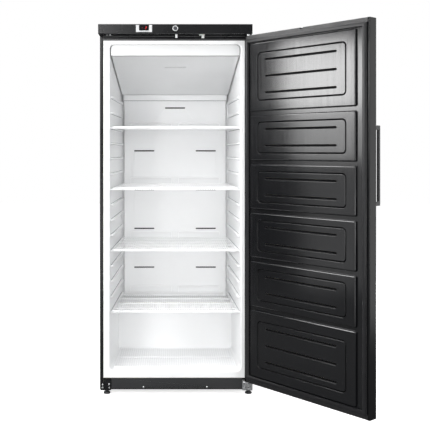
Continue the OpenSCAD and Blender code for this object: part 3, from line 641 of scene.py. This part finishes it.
def seam_shade_beads():
    """Thin beads where the panels inside meet each other and the liner, coloured as painted shade lines at the
    joints.
    """
    s = Shape()
    low, high = cab_box("evaporator_fascia")
    s.tube([(x, high[1] + 0.4, low[2] - 0.2) for x in (low[0] + 3, high[0] - 3)], 1.1)
    r = 20
    rim = (arc(high[0] - r + 1.5, high[2] - r + 0.5, r, 0, math.pi / 2, 8)
           + arc(low[0] + r - 1.5, high[2] - r + 0.5, r, math.pi / 2, math.pi, 8))
    rim = [(high[0] + 1.5, low[2] + 4)] + rim + [(low[0] - 1.5, low[2] + 4)]
    s.tube([(x, low[1] + 3, z) for x, z in rim], 1.3)
    low, high = cab_box("cover_lip")
    s.tube([(x, low[1] + 2, low[2] - 0.3) for x in (low[0] + 2, high[0] - 2)], 1.1)
    low, high = cab_box("duct_panel")
    # pale beads at the duct panel's sides: a faint painted shade line
    for x in (low[0] - 0.5, high[0] + 0.5):
        s.tube([(x, low[1] + 2, low[2] + 4), (x, low[1] + 2, high[2] - 2)], 0.8, mat=1)
    s.make("seam_shade_beads", "gasket_rubber", ["sealant", "pale_bead"])


# ---------------------------------------------------------------- shelves
def wire_shelf(name, node, y0, y1, side_gap, top, bars, drop, rear_loops):
    """Thin wires from front to back on a frame of thicker wire. The body has the node's name.

    bars: where the cross bars are, as parts of the depth. drop: how far the wires turn down at the
    front."""
    s = Shape()
    f0, f1 = wall_half(y0) - side_gap, wall_half(y1) - side_gap
    fr, wr = 2.1, 1.35  # the radius of the frame's wire and of the thin wires
    zc = top - fr
    front = y0 + fr + 2 * wr

    def half_at(y):
        return f0 + (f1 - f0) * (y - y0) / (y1 - y0)

    def thin_wire(x, back):
        s.tube(rounded_path([(x, back, top - wr), (x, y0 + wr, top - wr), (x, y0 + wr, top - drop)],
                            3, 3), wr, 6)

    frame_path = rounded_path([(-f0 + fr, front, zc), (f0 - fr, front, zc),
                               (f1 - fr, y1 - fr, zc), (-f1 + fr, y1 - fr, zc)], 14, 5, closed=True)
    s.tube(frame_path, fr, 10, closed=True)
    s.tube([(x, front, top - drop + fr) for x in (-f0 + 5, f0 - 5)], fr, 10)
    for k in bars:
        y = y0 + k * (y1 - y0)
        s.tube([(x, y, zc - 0.2) for x in (-half_at(y) + 3, half_at(y) - 3)], fr, 10)
    pitch = 11.6
    count = int((f1 - 10) / pitch)
    for i in range(-count, count + 1):
        thin_wire(i * pitch, y1 - 1.5)
    for side in (-1, 1):
        # the two last wires, which stop at the side wire where the shelf narrows
        for k in (1, 2):
            x = (count + k) * pitch
            reach = min(1.0, (f0 - x - 3) / (f0 - f1))
            if reach > 0.05:
                thin_wire(side * x, y0 + reach * (y1 - y0))
    if rear_loops:
        # two low loops of wire stand up at the back and keep goods off the duct panel
        for side in (-1, 1):
            inner, outer = side * 20, side * (f1 - 48)
            loop = [(inner, top - 2), (inner, top + 34), (outer, top + 34), (outer, top - 2)]
            s.tube(rounded_path([(x, y1 - 2.2, z) for x, z in loop], 8, 5), 1.9, 10)
    s.make(name, "wire_white", body=node, stands_for=[node], sharp=60)


# ---------------------------------------------------------------- door
# the raised panels: top and bottom as parts of the door's height, and how many slots each has
PADS = [(0.024, 0.220, 3), (0.230, 0.3595, 2), (0.369, 0.4977, 2), (0.5073, 0.636, 2),
        (0.6456, 0.7765, 2), (0.7844, 0.976, 3)]
PAD_R, PAD_EDGE, PAD_RISE = 9, 6.6, 10  # a panel's corners, the width of its edge, and its height
GROOVE_R, GROOVE_WIDTH = 22, 8.8  # the groove that runs round on each panel
SLOT_HALF, SLOT_R, SLOT_PITCH = 6.1, 6.09, 81
SLOT_TOP = 5.8  # a slot's upper wall: a 0.3 mm gap stays between it and the slot's opening


def door_skin():
    s = Shape()
    h, t = DOOR_HALF, DOOR_T
    path = rounded_path([(-h + 12, t), (-h, t), (-h, 0), (h, 0), (h, t), (h - 12, t)], 3.0, 5)
    s.band([(p.x, p.y) for p in path], SHEET, lambda x, y, k: (x, y, DOOR_HIGH if k else DOOR_LOW))
    s.make("door_skin_formed", "body_black", ["door_black"], "door", ["door_skin"])


def door_liner():
    s = Shape()
    face = DOOR_T - SHEET
    height = DOOR_HIGH - DOOR_LOW
    x0, x1 = 66.5 - DOOR_HALF, DOOR_HALF - 46.8  # the panels' sides
    middle, half = (x0 + x1) / 2, (x1 - x0) / 2
    rise = DOOR_T + PAD_RISE - face
    y = face + rise
    groove_x, slot_x = half * 0.845, half * 0.68
    lip = [(0, 0), (0.5, -0.12), (0.9, -0.5), (1.2, -1.1)]
    steps = [(0, 0), (0.5, 2.2), (1.4, 5.4), (2.6, 8.2), (4.4, 10.2), (PAD_EDGE, rise)]
    walls = [(1.2, -1.1), (3.0, -4.0), (4.4, -4.6), (5.8, -4.0), (7.6, -1.1)]

    def loop(box, inset, r):
        """A box of x0, x1, z0, z1 made smaller all round."""
        a0, a1, b0, b1 = box
        return round_rect(a0 + inset, a1 - inset, b0 + inset, b1 - inset, max(r - inset, 0.3), 6)

    def stack(box, r, base, profile, mat=0, caps=(False, False)):
        s.loft([[(x, base + u, z) for x, z in loop(box, i, r)] for i, u in profile],
               caps=caps, mat=mat)

    holes = []
    for top, low, slots in PADS:
        z1, z0 = DOOR_HIGH - top * height, DOOR_HIGH - low * height
        pad = (x0, x1, z0, z1)
        holes.append(round_rect(*pad, PAD_R, 6))
        stack(pad, PAD_R, face, steps)
        # the plateau around the ring groove, then the groove, whose walls take the near-black of painted shade
        mid, groove_z = (z0 + z1) / 2, (z1 - z0) * 0.71 / 2
        ring = (middle - groove_x, middle + groove_x, mid - groove_z, mid + groove_z)
        s.fill(loop(pad, PAD_EDGE, PAD_R), [round_rect(*ring, GROOVE_R, 6)], lambda x, z: (x, y, z))
        for part, mat in ((lip, 0), (walls, 1),
                          ([(GROOVE_WIDTH - i, u) for i, u in reversed(lip)], 0)):
            stack(ring, GROOVE_R, y, part, mat)
        # the slots, each with a lip and a trough painted near black as painted shade
        openings = []
        for k in range(slots):
            z = mid + (k - (slots - 1) / 2) * SLOT_PITCH
            slot = (middle - slot_x, middle + slot_x, z - SLOT_HALF)
            openings.append(round_rect(*slot, z + SLOT_HALF, SLOT_R, 6))
            for part, mat in ((lip, 0), ([(1.2, -1.1), (3.6, -4.6), (5.6, -5.2)], 1)):
                stack((*slot, z + SLOT_TOP), SLOT_R, y, part, mat, (False, mat == 1))
        s.fill(loop(ring, GROOVE_WIDTH, GROOVE_R), openings, lambda x, z: (x, y, z))
    edge_x = DOOR_HALF - 13.0
    edge = round_rect(-edge_x, edge_x, DOOR_LOW + 20, DOOR_HIGH - 20, 1.0, 6)
    s.fill(edge, holes, lambda x, z: (x, face, z))
    s.loft([[(x, face, z) for x, z in edge], [(x, face - 2.2, z) for x, z in edge]])
    s.make("door_liner_formed", "door_liner_black", ["door_liner_black", "door_groove"], "door",
           ["door_liner"], sharp=40)


def door_seal():
    """A bellows seal: a foot held in the liner, a soft fold and a flat magnet strip, mitred."""
    s = Shape()
    low, high = DOOR_LOW + 21, DOOR_HIGH - 21
    x = DOOR_HALF - 15
    base = DOOR_T - SHEET
    top = FRONT - 0.5
    # pairs of how far inwards and how deep: up its outer side, over the strip, down its inner side
    section = [(d, base + up) for d, up in (
        (1.5, 0), (0.6, 1.2), (1.6, 2.6), (2.6, 3.6), (1.4, 4.8), (0.2, 6.6), (0.0, 8.6),
        (0.5, 10.4), (2.0, 11.2))]
    section += [(d, top - down) for d, down in (
        (2.2, 2.6), (1.4, 1.6), (1.9, 0.5), (3.2, 0), (9, 0), (14.4, 0), (15.8, 0.6), (16.4, 1.9),
        (15.2, 2.8))]
    section += [(d, base + up) for d, up in (
        (14.6, 10.6), (16.8, 9.4), (17.8, 7.6), (17.6, 5.6), (16.0, 4.2), (14.8, 3.4), (16.4, 2.2),
        (17.0, 1.0), (16.2, 0))]
    loops = [[(-x + d, y, low + d), (x - d, y, low + d), (x - d, y, high - d),
              (-x + d, y, high - d)] for d, y in section]
    s.loft(loops + [loops[0]])
    s.make("door_seal_bellows", "gasket_rubber", body="door", stands_for=["door_gasket"], sharp=60)


def handle():
    s = Shape()
    x = 6 - DOOR_HALF
    mid = DOOR_LOW + 0.631 * (DOOR_HIGH - DOOR_LOW)
    s.box((x, -38, mid - 176), (x + 12, -26, mid + 176), r=2.0, n=3)
    s.make("handle_bar_formed", "handle_black", body="door", stands_for=["handle_bar"])


# ---------------------------------------------------------------- controls
def bezel():
    s = Shape()
    (x0, y0, z0), (x1, _, z1) = cab_box("controller_bezel")
    (win_x0, _, win_z0), (win_x1, _, _) = cab_box("display_window")
    gap = 0.4  # around each key

    def shrunk(d):
        """The outline of the bezel, open at the top for the window, made smaller all round."""
        pts = rounded_path([(x0 + d, z0 + d), (x1 - d, z0 + d), (x1 - d, z1 - d),
                            (win_x1 + d, z1 - d), (win_x1 + d, win_z0 - d),
                            (win_x0 - d, win_z0 - d), (win_x0 - d, z1 - d), (x0 + d, z1 - d)],
                           2.6, 4, closed=True)
        return [(p.x, p.y) for p in pts]

    rings = [(0, 0.0), (0, y0 + 1.0), (0.3, y0 + 0.3), (1.0, y0)]
    s.loft([[(x, y if y < 0 else 0.0, z) for x, z in shrunk(d)] for d, y in rings])
    holes = [round_rect(low[0] - gap, high[0] + gap, low[2] - gap, high[2] + gap, 1.0, 3)
             for low, high in map(cab_box, ("key_down", "key_set", "key_up"))]
    s.fill(shrunk(1.0), holes, lambda x, z: (x, y0, z))
    for hole in holes:
        s.loft([[(x, y0, z) for x, z in hole], [(x, 6.5, z) for x, z in hole]])
    s.fill(shrunk(0.0), holes, lambda x, z: (x, 0.0, z))
    s.make("bezel_formed", "bezel_grey", stands_for=["controller_bezel"], sharp=40)


# a figure's bars: middle's offset across and up, and whether the bar lies flat
SEGMENTS = {"a": (0, 5.6, True), "g": (0, 0, True), "d": (0, -5.6, True), "b": (2.9, 2.8, False),
            "e": (-2.9, -2.8, False)}
FLAT_BAR, UPRIGHT_BAR = (4.6, 1.3), (1.3, 4.8)


def display_digits():
    """A temperature in seven-segment figures, as small raised bars on the window."""
    s = Shape()
    low, high = cab_box("controller_bezel")
    centre = (low[0] + high[0]) / 2
    low, high = cab_box("display_window")
    face, middle = low[1], (low[2] + high[2]) / 2
    lean, unmoved = 0.12, 1861  # how far the figures lean, and the height that stays in place

    def bar(cx, cz, flat, mat):
        w, t = FLAT_BAR if flat else UPRIGHT_BAR
        pts = ([(-w / 2, 0), (-w / 2 + t / 2, -t / 2), (w / 2 - t / 2, -t / 2), (w / 2, 0),
                (w / 2 - t / 2, t / 2), (-w / 2 + t / 2, t / 2)] if flat else
               [(0, -t / 2), (w / 2, -t / 2 + w / 2), (w / 2, t / 2 - w / 2), (0, t / 2),
                (-w / 2, t / 2 - w / 2), (-w / 2, -t / 2 + w / 2)])
        s.loft([[(cx + a + (cz + b - unmoved) * lean, y, cz + b) for a, b in pts]
                for y in (face + 0.2, face - 0.12)], caps=(True, True), mat=mat)

    for figure, offset, mat in (("g", -9.5, 1), ("agdbe", 9.5, 0)):  # a dim minus sign, and a 2
        for segment in figure:
            dx, dz, flat = SEGMENTS[segment]
            bar(centre + offset + dx, middle + dz, flat, mat)
    s.make("display_digits", finish=["led_red", "led_dim"], sharp=20)


def rail():
    """The rail under the canopy: a dark channel with a thin bead, above a grey lip. The band above the bead and
    the channel are painted black as painted shade of the recess.
    """
    s = Shape()
    (x0, y0, z0), (x1, y1, z1) = cab_box("front_rail")
    top = z1 - 0.4
    bead_top, bead_low, lip_top = 1830.0, 1826.4, 1814.4
    front = y0 + 0.3
    dark = [(y1, top), (front, top), (front, bead_top)]
    bead = [(front, bead_top), (y0 - 0.2, bead_top - 0.6), (y0 - 0.5, bead_top - 1.8),
            (y0 - 0.2, bead_top - 3.0), (front, bead_low)]
    channel = [(front, bead_low), (y0 + 0.9, bead_low - 1.2), (y0 + 0.9, lip_top + 1.2),
               (front, lip_top)]
    grey = [(front, lip_top), (y0, lip_top - 0.8), (y0, z0 + 1.0), (y0 + 0.6, z0), (y1, z0)]
    for path, mat in ((dark, 1), (bead, 0), (channel, 1), (grey, 0), ([(y1, z0), (y1, top)], 1)):
        s.loft([[(x, y, z) for y, z in path] for x in (x0, x1)], closed=False, mat=mat)
    outline = dark + bead[1:] + channel[1:] + grey[1:]
    for x in (x0, x1):
        s.add([(x, y, z) for y, z in outline], [tuple(range(len(outline)))], 1)
    s.make("rail_formed", "rail_grey", ["rail_grey", "body_black"],
           stands_for=["front_rail"], sharp=40)


# ---------------------------------------------------------------- screws
def pan_screw(s, x, y, z, r, turn=0.0):
    """A pan head with a cross recess that faces the front, its underside at the point."""
    place = facing(x, y, z, (0, -1, 0)) @ Matrix.Rotation(turn, 4, "Z")
    shank, top, n = 2.2, 2.1, 20
    s.lathe([(r * 0.45, -shank), (r * 0.45, 0), (r, 0), (r, 0.7), (r * 0.93, 1.35), (r * 0.7, 1.9),
             (r * 0.52, top)], place, n)
    rim = [(r * 0.52 * math.cos(2 * math.pi * k / n), r * 0.52 * math.sin(2 * math.pi * k / n))
           for k in range(n)]
    a, b = r * 0.1, r * 0.42
    cross = [(a, -b), (a, -a), (b, -a), (b, a), (a, a), (a, b), (-a, b), (-a, a), (-b, a), (-b, -a),
             (-a, -a), (-a, -b)]
    s.fill(rim, [cross], lambda u, v: place @ Vector((u, v, top)))
    s.loft([[place @ Vector((u * k, v * k, h)) for u, v in cross]
            for k, h in ((1, top), (0.7, 0.8))], caps=(False, True))


def screws():
    low, rail_y = SHELL[0][2], cab_box("front_rail")[0][1]
    s = Shape()
    for k, x in enumerate((-162, 162)):
        pan_screw(s, x, FRONT - 2, low + 13, 5, turn=0.4 + k)
    s.make("plinth_screw_heads", "screw_steel", stands_for=["plinth_screws"], sharp=40)
    s = Shape()
    for k, x in enumerate((-349, -331)):
        pan_screw(s, x, rail_y + 0.3, 1834, 3.4, turn=0.9 * k)
    s.make("rail_screw_heads", "screw_steel", sharp=40)
    s = Shape()
    k = 0
    # across, depth and heights: the left foot plate, the lower hinge bracket, the upper one
    for xs, y, zs in (((-371, -337), FRONT - 3, (low + 10, low + 26)),
                      ((352, 374), FRONT - 4, (low + 12, low + 32)),
                      ((314, 336, 358), FRONT - 4, (CANOPY[0][2] + 26,))):
        for x in xs:
            for z in zs:
                k += 1
                pan_screw(s, x, y, z, 4.5, turn=0.7 * k)
    s.make("bracket_screw_heads", "screw_steel", stands_for=["bracket_screws"], sharp=40)


# ---------------------------------------------------------------- back and machine compartment
def condenser():
    s = Shape()
    (x0, _, z0), (x1, y1, z1) = cab_box("condenser")
    rows = 20
    step = (z1 - z0 - 12) / rows
    path = []
    for i in range(rows + 1):
        z = z0 + 6 + i * step
        ends = (x0 + 5, x1 - 5) if i % 2 == 0 else (x1 - 5, x0 + 5)
        path += [(ends[0], y1 - 4.4, z), (ends[1], y1 - 4.4, z)]
    s.tube(rounded_path(path, step * 0.49, 6), 2.9, 10)
    wires = 48
    for i in range(wires + 1):
        x = x0 + 22 + i * (x1 - x0 - 44) / wires
        for y in (y1 - 0.8, y1 - 8.2):
            s.tube([(x, y, z0 + 1), (x, y, z1 - 1)], 0.8, 6)
    for x in (x0 + 14, x1 - 14):
        for z in (z0 + 60, (z0 + z1) / 2, z1 - 60):
            s.box((x - 7, BACK + 0.2, z - 16), (x + 7, BACK + 1.6, z + 16), r=0.5)
            s.box((x - 7, BACK + 1.0, z - 5), (x + 7, y1 - 6.0, z + 5), r=1.2)
    s.make("condenser_coil", "condenser_black", stands_for=["condenser"], sharp=60)


def compressor():
    s = Shape()
    (_, y0, z0), (_, y1, _) = cab_box("compressor")
    cx, cy = -130.0, (y0 + y1) / 2
    low = z0 + 22
    place = Matrix.Translation((cx, cy, low))
    s.lathe([(2, 4), (40, 2), (62, 6), (72, 16), (77, 40), (78, 74), (78, 78), (80.5, 80), (81, 83),
             (80.5, 86), (78, 88), (77, 108), (72, 132), (60, 150), (40, 161), (18, 165.5),
             (1.5, 166)], place, 48, caps=(True, True))
    s.box((cx - 80, cy - 14, z0 + 20), (cx + 80, cy + 14, z0 + 23), r=1)
    for sy in (-1, 1):
        s.box((cx - 83, cy + sy * 55 - 12, z0 + 20), (cx + 83, cy + sy * 55 + 12, z0 + 23), r=1)
    s.box((cx + 66, cy - 28, low + 34), (cx + 83, cy + 28, low + 92), r=5, n=3)
    s.make("compressor_shell", "compressor_black", stands_for=["compressor"], sharp=45)
    s = Shape()
    for sx in (-1, 1):
        for sy in (-1, 1):
            s.lathe([(3, 0), (10, 0), (10.5, 4), (8.5, 6), (10.5, 8), (10.5, 13), (8.5, 15),
                     (9.5, 19.4), (4, 20.4)],
                    Matrix.Translation((cx + sx * 70, cy + sy * 55, z0)), 24, caps=(True, True))
    s.make("compressor_mounts", "gasket_rubber", sharp=40)
    s = Shape()
    wall = cab_box("rear_grille")[1][2] - 8
    # three pipes from the compressor up to the wall above it
    for bend, r, path in (
            (22, 3.2, [(-60, -20, low + 120), (-120, -20, low + 140), (-150, -10, wall - 20),
                       (-150, -10, wall + 4)]),
            (20, 3.2, [(40, 30, low + 138), (40, 30, low + 168), (120, 34, low + 176),
                       (250, 34, wall - 10), (250, 34, wall + 4)]),
            (18, 2.4, [(-20, 60, low + 128), (-20, 74, low + 165), (-90, 80, low + 150),
                       (-190, 74, wall - 20), (-190, 74, wall + 4)])):
        s.tube(rounded_path([(cx + x, cy + y, z) for x, y, z in path], bend, 6), r, 10)
    s.make("compressor_pipes", "condenser_black", sharp=60)


# ---------------------------------------------------------------- stage, lights, camera
def stage():
    """A pale floor. What the object mirrors of it is dimmer than what the camera sees."""
    mesh = bpy.data.meshes.new("floor")
    bm = bmesh.new()
    bmesh.ops.create_grid(bm, x_segments=8, y_segments=8, size=14)
    bm.to_mesh(mesh)
    bm.free()
    floor = bpy.data.objects.new("floor", mesh)
    bpy.context.scene.collection.objects.link(floor)
    pale = material("floor_pale", (0.90, 0.90, 0.90), 0.75, grain=(60, 0.05, 0.1), mottle=(1, 0.01),
                    emission=((1, 1, 1), 1.0))
    t = pale.node_tree
    link = t.links.new
    principled = t.nodes["Principled BSDF"]
    bounce = shader_node(t, "ShaderNodeBsdfDiffuse", {"Color": (0.13, 0.13, 0.13, 1)})
    # the floor brightens away from the object, so that it meets the white room with no edge
    coord = next(n for n in t.nodes if n.bl_idname == "ShaderNodeTexCoord")
    far = shader_node(t, "ShaderNodeVectorMath", operation="LENGTH")
    link(coord.outputs["Object"], far.inputs[0])
    glow = shader_node(t, "ShaderNodeMapRange", {"From Min": 1.0, "From Max": 4.5, "To Min": 0.74,
                                                 "To Max": 1.0}, interpolation_type="SMOOTHSTEP")
    link(far.outputs["Value"], glow.inputs["Value"])
    link(glow.outputs["Result"], principled.inputs["Emission Strength"])
    path = shader_node(t, "ShaderNodeLightPath")
    mix = shader_node(t, "ShaderNodeMixShader")
    link(path.outputs["Is Camera Ray"], mix.inputs["Fac"])
    link(bounce.outputs["BSDF"], mix.inputs[1])
    link(principled.outputs["BSDF"], mix.inputs[2])
    link(mix.outputs["Shader"], t.nodes["Material Output"].inputs["Surface"])
    floor.data.materials.append(pale)


# name, place and aim in the cabinet's millimetres, size in metres, watts
# the first five are what the open door and the canopy mirror
LIGHTS = [
    ("softbox_left", (-1750, -465, 1820), (600, -465, 1820), (0.67, 0.52), 17.5),
    ("softbox_mid", (-1750, -510, 1370), (600, -510, 1370), (0.6, 0.38), 4.3),
    ("softbox_low", (-1750, -560, 640), (600, -560, 640), (0.56, 0.9), 1.6),
    ("softbox_high", (-1750, 450, 3050), (400, -300, 900), (1.9, 1.3), 100),
    ("canopy_glow", (-760, -3000, 2330), (-200, 0, 1855), (0.5, 0.5), 3.0),
    ("key", (-1350, -2750, 2500), (0, 350, 1000), (0.9, 0.9), 42),
    ("fill", (100, -2700, 500), (0, 350, 1000), (1.6, 0.9), 18),
    ("fill_high", (300, -3000, 4300), (0, 400, 900), (1.8, 0.9), 48),
    ("fill_left", (-1600, -2500, 1300), (334, 250, 1100), (0.9, 1.6), 24),
    ("fill_right", (2000, -2500, 1300), (-100, 300, 1100), (0.9, 1.6), 35),
    ("panel_right", (2900, 100, 1200), (400, -400, 1100), (2.0, 2.4), 22),
    ("back_right", (2600, 2900, 1300), (400, 100, 1000), (2.4, 2.2), 80),
    ("back_left", (-2300, 3300, 1300), (-200, 500, 1000), (2.4, 2.2), 70),
    ("top", (0, -1500, 4600), (0, -400, 0), (2.6, 2.6), 80),
]


def lights():
    for name, at, look, size, power in LIGHTS:
        data = bpy.data.lights.new(name, "AREA")
        data.shape = "RECTANGLE"
        data.size, data.size_y = size
        data.energy = power
        obj = bpy.data.objects.new(name, data)
        bpy.context.scene.collection.objects.link(obj)
        obj.location = PLACE @ Vector(at)
        aim = (PLACE @ Vector(look)) - obj.location
        obj.rotation_mode = "QUATERNION"
        obj.rotation_quaternion = aim.to_track_quat("-Z", "Y")
        obj.visible_camera = False


def room():
    """A white room to the camera, and a dim one to everything that the room lights."""
    world = bpy.data.worlds.new("studio")
    bpy.context.scene.world = world
    world.use_nodes = True
    t = world.node_tree
    background = t.nodes["Background"]
    path = shader_node(t, "ShaderNodeLightPath")
    mix = shader_node(t, "ShaderNodeMapRange", {"To Min": 0.05, "To Max": 1.0})
    t.links.new(path.outputs["Is Camera Ray"], mix.inputs["Value"])
    t.links.new(mix.outputs["Result"], background.inputs["Strength"])
    background.inputs["Color"].default_value = (1, 1, 1, 1)


IMAGE, FOCAL, SHIFT = 430.0, 780.0, (41.5, -65.0)  # the picture's width and the fit, in pixels
CAMERA_AT = (-9, -3919, 1247)  # in the cabinet's millimetres


def camera():
    data = bpy.data.cameras.new("camera")
    data.sensor_width = 36.0
    data.lens = FOCAL / IMAGE * data.sensor_width
    data.shift_x, data.shift_y = (v / IMAGE for v in SHIFT)
    data.clip_start = 0.05
    data.clip_end = 60
    obj = bpy.data.objects.new("camera", data)
    bpy.context.scene.collection.objects.link(obj)
    obj.location = PLACE @ Vector(CAMERA_AT)
    obj.rotation_euler = (math.pi / 2, 0, 0)
    bpy.context.scene.camera = obj


# ---------------------------------------------------------------- the whole scene
outer_shell()
canopy()
inner_liner()
liner_step()
runner_ribs()
duct_shade_trays()
cover_slot_shade_tray()
seam_shade_beads()
for k in range(4):
    wire_shelf(f"shelf_{k + 1}_wires", f"shelf_{k + 1}", y0=97.0, y1=640.0, side_gap=8.0,
               top=SHELF_TOP - k * SHELF_PITCH, bars=(0.125, 0.365, 0.615, 0.865), drop=11.0,
               rear_loops=True)
wire_shelf("floor_grid_wires", "floor_grid", y0=97.0, y1=487.0, side_gap=16.0, top=131.6,
           bars=(0.5,), drop=9.0, rear_loops=False)
door_skin()
door_liner()
door_seal()
handle()
bezel()
display_digits()
rail()
screws()
condenser()
compressor()
stage()
lights()
room()
camera()
bpy.context.scene.view_settings.view_transform = "Standard"
